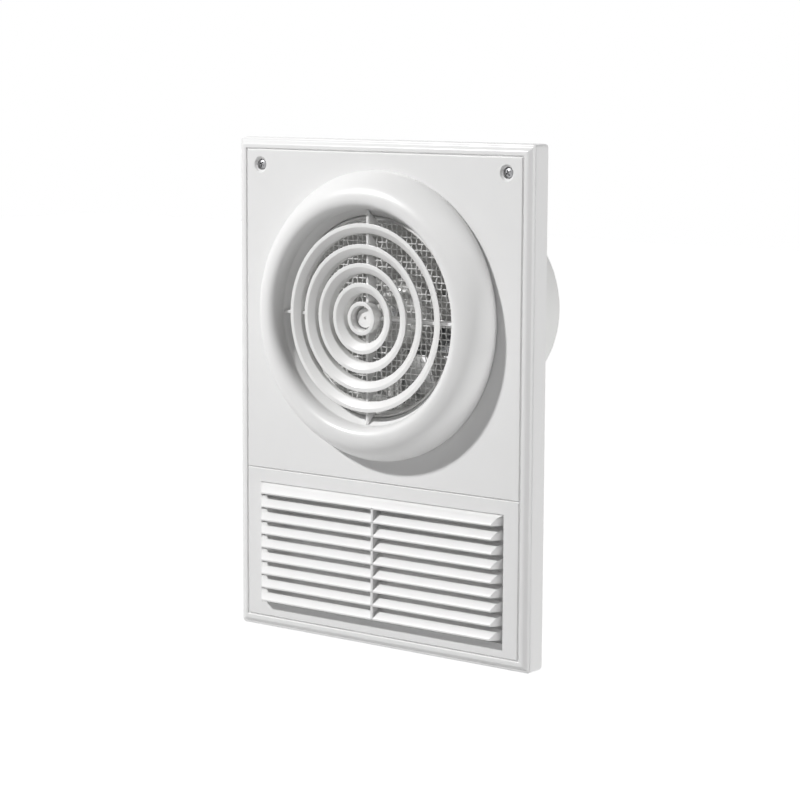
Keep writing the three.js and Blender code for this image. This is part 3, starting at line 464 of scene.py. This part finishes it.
# %% Rings, hub and sleeve of the grille
ring_radii = [46.0, 36.0, 26.85, 17.45, 8.25]
ring_fronts = [-23.8, -25.0, -25.4, -25.7, -25.9]
spoke_front, spoke_back, ring_foot, hub_radius = front - 8.9, front - 3.0, front - 7.0, 4.8


def ring_inner(radius):
    """Inner radius of a ring: rim 2 wide and a slope of 3.3, but never less than 1 off the hub."""
    return radius - 2.0 - min(3.3, radius - 2.0 - hub_radius - 1.0)


def grille_ring(radius, y):
    """Profile of one ring, with rounded corners: rim, back of the slope, tube, slope."""
    inner, foot = ring_inner(radius), ring_foot
    return rounded([[radius, y], [inner + 1.5, foot], [inner, foot], [inner, y + 2.2],
                    [radius - 2.0, y]], [0.35, 0.4, 0.4, 0.5, 0.25], 5)


rings = [turned(grille_ring(radius, y), 192 if radius > 20 else 112)
         for radius, y in zip(ring_radii, ring_fronts)]
hub_face = ring_fronts[-1] + 3.1
hub_profile = np.vstack([[[0.01, hub_face + 1.0], [0.7, hub_face + 1.0], [0.75, hub_face + 0.12]],
                         rounded([[1.0, hub_face], [hub_radius, hub_face], [hub_radius, spoke_back],
                                  [1.0, spoke_back]], [0.1, 0.5, 0.2, 0.1], 5)[5:-5],
                         [[0.01, spoke_back]]])
hub = turned(hub_profile, 64)
sleeve_profile = rounded([[49.0, -9.9], [49.0, -16.2], [47.8, -16.2], [47.8, -9.9]], 0.3, 4)
grille_sleeve = turned(sleeve_profile, 192)
print("rings:", len(rings), "hub's face at y", round(hub_face, 2))

# %% Fins of the grille
half_fin = 0.85
tube_middles = [ring_inner(radius) + 0.75 for radius in ring_radii]
clear_radius, slant = 48.88, 3.7 / 3.8
outer_edge = [[clear_radius + (funnel_y - spoke_front) * slant - 0.2, spoke_front],
              [clear_radius, funnel_y], [48.4, spoke_back]]
inner_edges = [[[outer_tube, spoke_front], [radius + 0.9, spoke_back]]
               for outer_tube, radius in zip(tube_middles, ring_radii[1:])]
fins = [pressed([[0, spoke_front], [tube_middles[-1], spoke_front], [tube_middles[-1], spoke_back],
                 [0, spoke_back]], -half_fin, half_fin)]
fins += [pressed([[tube, spoke_front], *edge, [tube, spoke_back]], -half_fin, half_fin)
         for tube, edge in zip(tube_middles, [outer_edge, *inner_edges])]
fins = [swung(fin, quarter * 90) for quarter in range(4) for fin in fins]
grille = piece("inlet_grille_rings", [*rings, hub, grille_sleeve], grille_white, ["inlet_grille"])
soften(grille, 0.15)
thin_fins = piece("inlet_grille_fins", fins, fin_white, ["inlet_grille"])
soften(thin_fins, 0.15)

# %% [markdown]
# ## The insect mesh
#
# The mesh is woven from fine wire, over one and under the next. A wire's path is a cosine whose
# half-wave is one cell, and its neighbours run half a wave apart. All the wires of a direction are
# one array: wire, place along it, and place round its section.

# %% Weave the mesh
def woven(pitch, wire, radius, y, samples=129, sides=5):
    """Wires at x = i * pitch with y = middle + a (-1)^i cos(pi z / pitch), and the same with x and
    z exchanged and the sign turned, so that they pass each other at every crossing."""
    count = int(radius / pitch)
    number = np.arange(-count, count + 1)
    across = number * pitch
    reach = np.sqrt(radius ** 2 - across ** 2)
    along = reach[:, None] * np.linspace(-1, 1, samples)[None]
    sway = wire * 0.53 * np.where(number % 2 == 0, 1, -1)[:, None] * np.cos(np.pi * along / pitch)
    turn = np.linspace(0, 2 * np.pi, sides, endpoint=False)
    side = across[:, None, None] + wire / 2 * np.cos(turn) + 0 * along[..., None]
    caps = [list(range(sides)), list(range((samples - 1) * sides, samples * sides))]
    faces = grid_faces(samples, sides, False, True) + caps
    shapes = []
    for sign, order in ((1, [0, 1, 2]), (-1, [2, 1, 0])):
        depth = y + sign * sway[..., None] + wire / 2 * np.sin(turn)
        points = np.stack([side, depth, along[..., None] + 0 * turn], -1)[..., order]
        shapes += [(wire_points.reshape(-1, 3), faces) for wire_points in points]
    return shapes


mesh_pitch, wire_width, wire_reach, mesh_y = 3.0, 0.64, 47.6, -9.25
mesh_rim = turned(rounded([[48.4, -9.6], [48.4, -8.9], [46.4, -8.9], [46.4, -9.6]], 0.2, 4), 160)
piece("insect_mesh_weave", woven(mesh_pitch, wire_width, wire_reach, mesh_y) + [mesh_rim],
      mesh_wire, ["insect_mesh"], degrees=60)
clamp_profile = rounded([[49.0, -8.6], [49.0, -7.3], [45.6, -7.3], [45.6, -8.6]], 0.3, 4)
piece("mesh_clamp_band", [turned(clamp_profile)], inner_white, ["mesh_clamp_ring"])

# %% [markdown]
# ## The passive vent
#
# Nine small hoods overlap like shingles. Air passes up under each lip, and rain or a direct view
# can't. A hood is a bent strip whose ends are hipped: every point moves in sideways in step with
# how far it stands off the plate, so the two ends slope like the end of a roof. A cheek closes each
# end under the strip. The hoods and the rib in the middle are one piece. The plate behind them is
# another, with a slot behind each lip and a flange that holds it from behind.

# %% Shape the hoods
def hipped(section, first_x, last_x, first_side, last_side):
    """Prism along X between two places. An end on side -1 or 1 moves in where the section stands
    before the plate: x + side * slope * (y - front)."""
    line = np.asarray(section, float)
    drawn = hip_slope * np.minimum(0, line[:, 0] - front)
    return lofted([np.stack([x + side * drawn, line[:, 0], line[:, 1]], 1)
                   for x, side in ((first_x, first_side), (last_x, last_side))])


hip_slope, lip_front = 0.78, front - 4.8
strip = rounded([[front + 0.8, 5.0], [front, 5.0], [front - 2.4, 3.85], [lip_front, 0.9],
                 [lip_front, 0], [lip_front + 0.8, 0], [lip_front + 0.9, 0.5], [front - 2.2, 2.5],
                 [front, 3.36], [front + 0.8, 3.36]],
                [0, 0.3, 0.9, 0.42, 0.2, 0.2, 0.3, 0.7, 0.2, 0], 5)
cheek = np.array([[front + 0.8, 4.2], [front, 4.2], [front - 2.25, 3.2], [lip_front + 0.4, 0.75],
                  [lip_front + 0.4, 0.03], [front + 0.8, 0.03]])
top_foot, foot_step, hood_count = -94.7, 6.93, 9
feet = top_foot - foot_step * np.arange(hood_count)
cheek_out, cheek_in = half_vent - 0.03, half_vent - 1.6
hood_shapes = []
for foot in feet:
    lift = np.array([0, foot])
    hood_shapes += [hipped(strip + lift, -half_vent, half_vent, -1, 1),
                    hipped(cheek + lift, -cheek_out, -cheek_in, -1, -1),
                    hipped(cheek + lift, cheek_out, cheek_in, 1, 1)]
print("hoods:", len(feet), "from z", feet[0], "to", round(feet[-1], 2))

# %% Build the vent
plate_back, half_rib = front + 2.3, 0.75
rib = pressed(rounded([[-half_rib, lip_front], [half_rib, lip_front], [half_rib, plate_back - 0.4],
                       [-half_rib, plate_back - 0.4]], 0.2, 4), feet[-1], feet[0] + 0.9)
piece("vent_louvre_hoods", [*hood_shapes, rib], hood_white, ["vent_louvre"], degrees=30)
slack = gap - 0.06
half_flange, half_slot, half_recess = 78, 73.3, 71.7
plate = block(-half_vent - slack, half_vent + slack, front, plate_back, vent_bottom - slack,
              vent_top + slack)
flange = block(-half_flange, half_flange, plate_back - 0.1, plate_back + 1.5, vent_bottom - 3,
               vent_top + 3)
slots = [block(-half_slot, half_slot, front - 1, plate_back + 3, foot + 0.54, foot + 3.36)
         for foot in feet]
recess = block(-half_recess, half_recess, plate_back - 0.05, plate_back + 3, vent_bottom + 1.6,
               vent_top - 1.6)
vent_plate = piece("vent_louvre_plate", [plate, flange], panel_white, ["vent_louvre"], degrees=30)
carve(vent_plate, slots + [recess])

# %% [markdown]
# ## Screws
#
# Every screw here has a low domed head with a cross recess. The head and shank are one turned
# profile, and two thin blocks cut the cross. The panel's screws sit deep in their dishes and are
# rougher than the others; their darker colour is painted shade from the dishes. A screw whose
# point comes before its head in Y points to the front.

# %% Turn and cut the screws
def cross_screw(node, place, y, tip, turn, finish=screw_zinc, head=2.6, thick=1.5, shank=1.25):
    """Screw whose head starts at y and whose point is at tip, with its cross turned by an angle.
    The sizes are the head's radius and thickness and the shank's radius."""
    sign, length = np.sign(tip - y), abs(tip - y)
    dome = bezier([0.01, 0.0], [head * 0.5, 0.0], [head * 0.92, thick * 0.25],
                  [head, thick * 0.75], 10)
    profile = np.vstack([dome, [[head, thick * 0.95], [head * 0.96, thick], [shank, thick],
                                [shank, length - shank], [shank * 0.3, length], [0.01, length]]])
    profile[:, 1] = y + sign * profile[:, 1]
    made = piece(f"{node}_head", [turned(profile, 40, place)], finish, [node])
    arm, half_cut, deep = head * 0.58, head * 0.15, y + sign * thick * 0.62
    low, high = sorted((y - sign, deep))
    tools = [block(-arm, arm, low, high, -half_cut, half_cut),
             block(-half_cut, half_cut, low, high, -arm, arm)]
    carve(made, [moved(swung(tool, turn), (place[0], 0, place[1])) for tool in tools])


casing_places, motor_places = on_circle(54, [0, 90, 180, 270]), on_circle(15, [30, 150, 270])
# The panel's screws get the darker zinc, whose colour is painted shade from their deep dishes.
for i, place in enumerate(screw_places):
    cross_screw(f"panel_screw_{i + 1}", place, -11.0, -2.7, 25 + 38 * i, dull_zinc_painted_shade)
for i, place in enumerate(casing_places):
    cross_screw(f"casing_screw_{i + 1}", place, -6.5, -0.3, 17 * i)
for i, place in enumerate(motor_places):
    cross_screw(f"motor_screw_{i + 1}", place, 58.2, 51.6, 29 * i)

# %% [markdown]
# ## Casing, base plate and bracket
#
# The tube that holds the motor is the duct spigot too. Behind the panel a flat base plate carries
# it, with holes for the wall screws, a window behind the vent and a hole for the supply cable. The
# bracket is a ring in the tube with four arms that hold the motor's cup.

# %% Turn the casing
bore, spigot = 47.9, 49.5
casing_profile = rounded([[bore, -7], [spigot, -7], [spigot, -4.7], [58, -4.7], [58, -2.7],
                          [spigot, -2.7], [spigot, 73], [bore, 73]],
                         [0.3, 0.3, 0.4, 0.4, 0.4, 0.4, 0.8, 0.4], 5)
casing = piece("fan_casing_tube", [turned(casing_profile, 240)], inner_white, ["fan_casing"])
lead_notch = swung(block(45.9, 51.5, -8, -4.7, -2.2, 2.2), 45)
carve(casing, [lead_notch])

# %% Build the base plate
plate_edge = wall + gap
plate_rings = [rectangle(plate_edge + inset, y, 1.2) for inset, y in
               [(0.3, 0), (0, -0.3), (0, -2.1), (0.3, -2.4)]]


def drill(radius, x, z, steps=32):
    """Round tool along Y that runs through the base plate."""
    return turned([[0.01, -12], [radius, -12], [radius, 2], [0.01, 2]], steps, (x, z))


cable_x, cable_z = on_circle(96, [45])[0]
wall_places = [(x, z) for x in (-66, 66) for z in (48, -76)]
tube_hole, cable_hole, wall_hole, thread_hole = 49.8, 5.0, 2.3, 1.55
vent_way = block(-72, 72, -4, 2, vent_bottom + 3, vent_top - 3)
base = piece("base_plate_sheet", [lofted(plate_rings)], inner_white, ["base_plate"])
carve(base, [drill(tube_hole, 0, 0, 200), vent_way, drill(cable_hole, cable_x, cable_z, 48)]
      + [drill(wall_hole, x, z) for x, z in wall_places]
      + [drill(thread_hole, x, z, 24) for x, z in casing_places])

# %% Bosses and lugs of the base plate
boss_profile = rounded([[thread_hole, -7.7], [4.6, -7.7], [4.6, -2.2], [thread_hole, -2.2]],
                       [0.1, 0.4, 0.1, 0.1], 4)
lugs = [block(x - 6, x + 6, -9.7, -2.2, -159.85, -156.85) for x in (-60, 60)]
bosses = piece("base_plate_bosses",
               [turned(boss_profile, 48, place) for place in screw_places] + lugs,
               inner_white, ["base_plate"])
soften(bosses, 0.3)

# %% Build the motor bracket
ring_band = turned(rounded([[47.6, 41], [47.6, 54.4], [45.8, 54.4], [45.8, 41]], 0.5, 5), 192)
cup_profile = rounded([[24.3, 41], [24.3, 56.4], [8.1, 56.4], [8.1, 54.4], [22.5, 54.4],
                       [22.5, 41]], [0.4, 1.6, 0.4, 0.3, 0.6, 0.4], 5)
arms = [swung(block(23.4, 46.7, 42, 53.4, -1, 1), 45 + 90 * i) for i in range(4)]
bracket = piece("motor_bracket_ring", [ring_band, turned(cup_profile, 128), *arms], inner_white,
                ["motor_bracket"])
soften(bracket, 0.35)

# %% [markdown]
# ## The motor
#
# A small shaded-pole or capacitor motor sits in the bracket's cup: a pressed steel housing with a
# nose for the front bearing, and an end cap with the rear one. Both are turned profiles with the
# soft corners that drawn sheet has.

# %% Turn the housing and its cap
housing_profile = rounded([[3.1, 19.7], [7.3, 19.7], [7.3, 21.5], [22.2, 21.5], [22.2, 50.5],
                           [21.0, 50.5], [21.0, 23.0], [7.3, 23.0], [7.3, 26.6], [6.2, 26.6],
                           [6.2, 21.2], [3.1, 21.2]],
                          [0.3, 0.5, 0.5, 2.2, 0.3, 0.3, 1.0, 0.4, 0.2, 0.2, 0.3, 0.3], 5)
piece("motor_housing_shell", [turned(housing_profile, 128)], zinc_sheet, ["motor_housing"])
cap_profile = rounded([[0.01, 54.1], [7.3, 54.1], [7.3, 52.3], [22.2, 52.3], [22.2, 50.8],
                       [7.3, 50.8], [7.3, 47.2], [6.2, 47.2], [6.2, 52.6], [0.01, 52.6]],
                      [0, 0.6, 0.5, 1.0, 0.3, 0.4, 0.2, 0.2, 0.3, 0], 5)
cap_boss = rounded([[thread_hole, 52.1], [3.2, 52.1], [3.2, 54.1], [thread_hole, 54.1]], 0.2, 3)
piece("motor_end_cap_shell",
      [turned(cap_profile, 128)] + [turned(cap_boss, 32, place) for place in motor_places],
      zinc_sheet, ["motor_end_cap"])

# %% [markdown]
# ## The impeller
#
# The wheel is moulded in one: a round-nosed hub and seven blades. A blade is a surface of two
# parameters. One runs from the hub to the tip, and sets the radius, chord and pitch. The other
# runs round the section, which is a thin bowed ellipse, wrapped onto the cylinder of its radius.

# %% Shape the blades
def blade(spans=18, section=28):
    """Along the chord u = cos(a)/2; the height is camber (1 - 4u^2) plus half the thickness times
    sin(a). The section turns by the pitch, and its sweep divided by the radius is an angle."""
    share = np.linspace(0, 1, spans)[:, None]
    turn = np.linspace(0, 2 * np.pi, section, endpoint=False)[None]
    radius = root_radius + (tip_radius - root_radius) * share
    chord = root_chord + (tip_chord - root_chord) * share
    pitch = np.radians(root_pitch + (tip_pitch - root_pitch) * share)
    u = np.cos(turn) / 2
    bow = camber * (1 - 4 * u ** 2) + half_thickness * np.sin(turn)
    y = blade_y + u * chord * np.sin(pitch) + bow * np.cos(pitch)
    angle = (u * chord * np.cos(pitch) - bow * np.sin(pitch)) / radius
    return lofted(np.stack([radius * np.cos(angle), y, -radius * np.sin(angle)], 2))


root_radius, root_chord, root_pitch = 16.75, 21, 50
tip_radius, tip_chord, tip_pitch = 44.0, 33, 28
camber, half_thickness, blade_y = 1.6, 0.7, 9.8
print("points of a blade:", len(blade()[0]))

# %% Build the impeller
blade_count = 7
nose = np.linspace(0.15, 1, 14)[:, None] * np.pi / 2
outer_nose = np.hstack([17.5 * np.sin(nose), 8 - 8 * np.cos(nose)])
inner_nose = np.hstack([16.0 * np.sin(nose), 8 - 6.5 * np.cos(nose)])[5:][::-1]
hub_shape = np.vstack([[[2.6, 0.0]], outer_nose, [[17.5, 17.8], [17.3, 18], [16.1, 18], [16, 17.8]],
                       inner_nose, [[6, inner_nose[-1, 1]], [6, 14.8], [5.8, 15], [2.6, 15]]])
blades = [swung(blade(), 360 / blade_count * i) for i in range(blade_count)]
piece("impeller_wheel", [turned(hub_shape, 96)] + blades, impeller_grey, ["impeller"],
      body="fan_rotor")

# %% Nut and shaft
nut_profile = [[2.6, -2.5], [4.0, -2.5], [4.62, -2.15], [4.62, -0.3], [2.6, -0.3]]
piece("impeller_hex_nut", [turned(nut_profile, 6)], screw_zinc, ["impeller_nut"], body="fan_rotor",
      degrees=20)
shaft_profile = [[0.01, -3.4], [2.1, -3.4], [2.5, -3.0], [2.5, 51.6], [2.1, 52.0], [0.01, 52.0]]
piece("motor_shaft_rod", [turned(shaft_profile, 64)], ground_steel, ["motor_shaft"],
      body="fan_rotor")

# %% [markdown]
# ## Wiring
#
# A rubber grommet in the base plate takes the supply cable, which isn't part of the model. Two
# leads run from the terminal block over the flange and along the inside of the tube to the motor.
# A lead's solid is a plain tube of loose triangles, so a copy of it has its doubles merged and is
# shaded smooth.

# %% Turn the grommet
grommet_profile = rounded([[3.0, -4.2], [6.6, -4.2], [6.6, -2.7], [4.7, -2.7], [4.7, -0.3],
                           [3.0, -0.3]], [0.6, 0.5, 0.3, 0.3, 0.3, 0.5], 5)
piece("cable_grommet_ring", [turned(grommet_profile, 64, (cable_x, cable_z))], grommet_rubber,
      ["cable_grommet"])

# %% Smooth the leads
for side in (1, 2):
    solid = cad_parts[f"motor_lead_{side}"]
    lead = bpy.data.objects.new(f"motor_lead_{side}_smooth", solid.data.copy())
    bpy.context.scene.collection.objects.link(lead)
    work = bmesh.new()
    work.from_mesh(lead.data)
    bmesh.ops.remove_doubles(work, verts=work.verts, dist=1e-6)
    work.to_mesh(lead.data)
    work.free()
    lead.data.materials.clear()
    lead.data.materials.append(lead_cover)
    sharpen(lead.data, 50)
    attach(lead, "fan_frame")
    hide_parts(f"motor_lead_{side}")
    print(lead.name, len(lead.data.polygons), "faces")

# %% [markdown]
# ## Finishes for the pieces that keep their engineering shape
#
# The pieces that stay inside keep their solids, which are exact enough, and only get a finish.

# %% Dress the inner pieces
dressed = {"terminal_block": terminal_black, "terminal_cover": inner_white,
           "terminal_screw_1": bronze, "terminal_screw_2": bronze,
           "cable_clamp": inner_white, "cable_clamp_screw_1": screw_zinc,
           "cable_clamp_screw_2": screw_zinc, "front_bearing": bronze, "rear_bearing": bronze,
           "stator_core": core_sheet, "rotor_core": core_sheet, "stator_windings": copper_wire}
for node, finish in dressed.items():
    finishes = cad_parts[node].data.materials
    finishes.clear()
    finishes.append(finish)
print("dressed:", len(dressed))

# %% [markdown]
# ## Room and light
#
# The photograph's main light is a small, hard lamp high at the front left. Its direction was read
# from the shadows of the hoods and the collar: for each millimetre that something stands off the
# panel, its shadow lies 0.8 mm to the right and 0.95 mm down. A wider lamp stands at the right, a
# little behind the plane of the panel's face. It lights the side wall, the spigot and the collar's
# flank, while the line where the collar meets the panel stays dark. A weak, wide lamp high at the
# front right and an even white room fill the shadows. One more weak lamp, high at the rear left,
# lights the back. It is kept low because part of its light comes through the vent's slots.

# %% Floor
def seeing_ray(nodes, links):
    """1 for a ray that sees the background: straight from the camera, in a reflection, or through
    something clear. 0 for a ray that only carries light onto the object."""
    path = nodes.new("ShaderNodeLightPath")
    seen = path.outputs["Is Camera Ray"]
    for other in ("Is Glossy Ray", "Is Transmission Ray"):
        either = nodes.new("ShaderNodeMath")
        either.operation = "MAXIMUM"
        links.new(seen, either.inputs[0])
        links.new(path.outputs[other], either.inputs[1])
        seen = either.outputs["Value"]
    return seen


def plain_floor(name):
    """Pale floor that keeps shadows; a ray that sees it finds it brighter, like white paper."""
    made = bpy.data.materials.new(name)
    made.use_nodes = True
    nodes, links = made.node_tree.nodes, made.node_tree.links
    shader, out = nodes["Principled BSDF"], nodes["Material Output"]
    shader.inputs["Base Color"].default_value = (0.86, 0.86, 0.86, 1)
    shader.inputs["Roughness"].default_value = 0.9
    glow = nodes.new("ShaderNodeEmission")
    share = nodes.new("ShaderNodeMath")
    share.operation = "MULTIPLY"
    share.inputs[1].default_value = floor_glow
    links.new(seeing_ray(nodes, links), share.inputs[0])
    links.new(share.outputs["Value"], glow.inputs["Strength"])
    both = nodes.new("ShaderNodeAddShader")
    links.new(shader.outputs["BSDF"], both.inputs[0])
    links.new(glow.outputs["Emission"], both.inputs[1])
    links.new(both.outputs["Shader"], out.inputs["Surface"])
    return made


floor_reach, floor_z, floor_glow = 14, -1.1, 0.9
floor_mesh = bpy.data.meshes.new("floor")
floor_mesh.from_pydata([(x * floor_reach, y * floor_reach, floor_z)
                        for x, y in ((-1, -1), (1, -1), (1, 1), (-1, 1))], [], [(0, 1, 2, 3)])
floor = bpy.data.objects.new("floor", floor_mesh)
bpy.context.scene.collection.objects.link(floor)
floor_mesh.materials.append(plain_floor("floor paper"))
print("floor at z", floor_z)

# %% White room
fill_level = 0.06      # the strength that lights the object, where 1 is white
world = bpy.data.worlds.new("studio")
bpy.context.scene.world = world
world.use_nodes = True
sky, wires = world.node_tree.nodes, world.node_tree.links
sky["Background"].inputs["Color"].default_value = (1, 1, 1, 1)
level = sky.new("ShaderNodeMapRange")
level.inputs["To Min"].default_value, level.inputs["To Max"].default_value = fill_level, 1.0
wires.new(seeing_ray(sky, wires), level.inputs["Value"])
wires.new(level.outputs["Result"], sky["Background"].inputs["Strength"])
print("room lights the object at", fill_level)

# %% Lamps
def lamp(name, towards, distance, size, energy):
    """Round lamp at a distance along a direction from the panel's middle, facing it."""
    light = bpy.data.lights.new(name, "AREA")
    light.shape, light.size, light.energy = "DISK", size, energy
    made = bpy.data.objects.new(name, light)
    direction = Vector(towards).normalized()
    made.location = panel_middle + direction * distance
    made.rotation_euler = direction.to_track_quat("Z", "Y").to_euler()
    bpy.context.scene.collection.objects.link(made)
    return made


panel_middle = Vector((0, -0.012, -0.04))
key = lamp("key", (-0.80, -1.0, 0.95), 2.4, 0.14, 53.0)
side = lamp("side light", (1.0, 0.14, 0.06), 1.9, 0.5, 18.5)
fill = lamp("front fill", (0.75, -1.0, 0.8), 2.2, 1.0, 3.4)
rear = lamp("rear light", (-1.0, 0.5, 0.9), 2.2, 1.0, 8.0)
for soft in (side, fill, rear):
    soft.visible_glossy = False
print("lamps:", key.name, side.name, fill.name, rear.name)

# %% [markdown]
# ## Colours
#
# The colours are shown as they are, without a film look.

# %% Show the colours as they are
bpy.context.scene.view_settings.view_transform = "Standard"
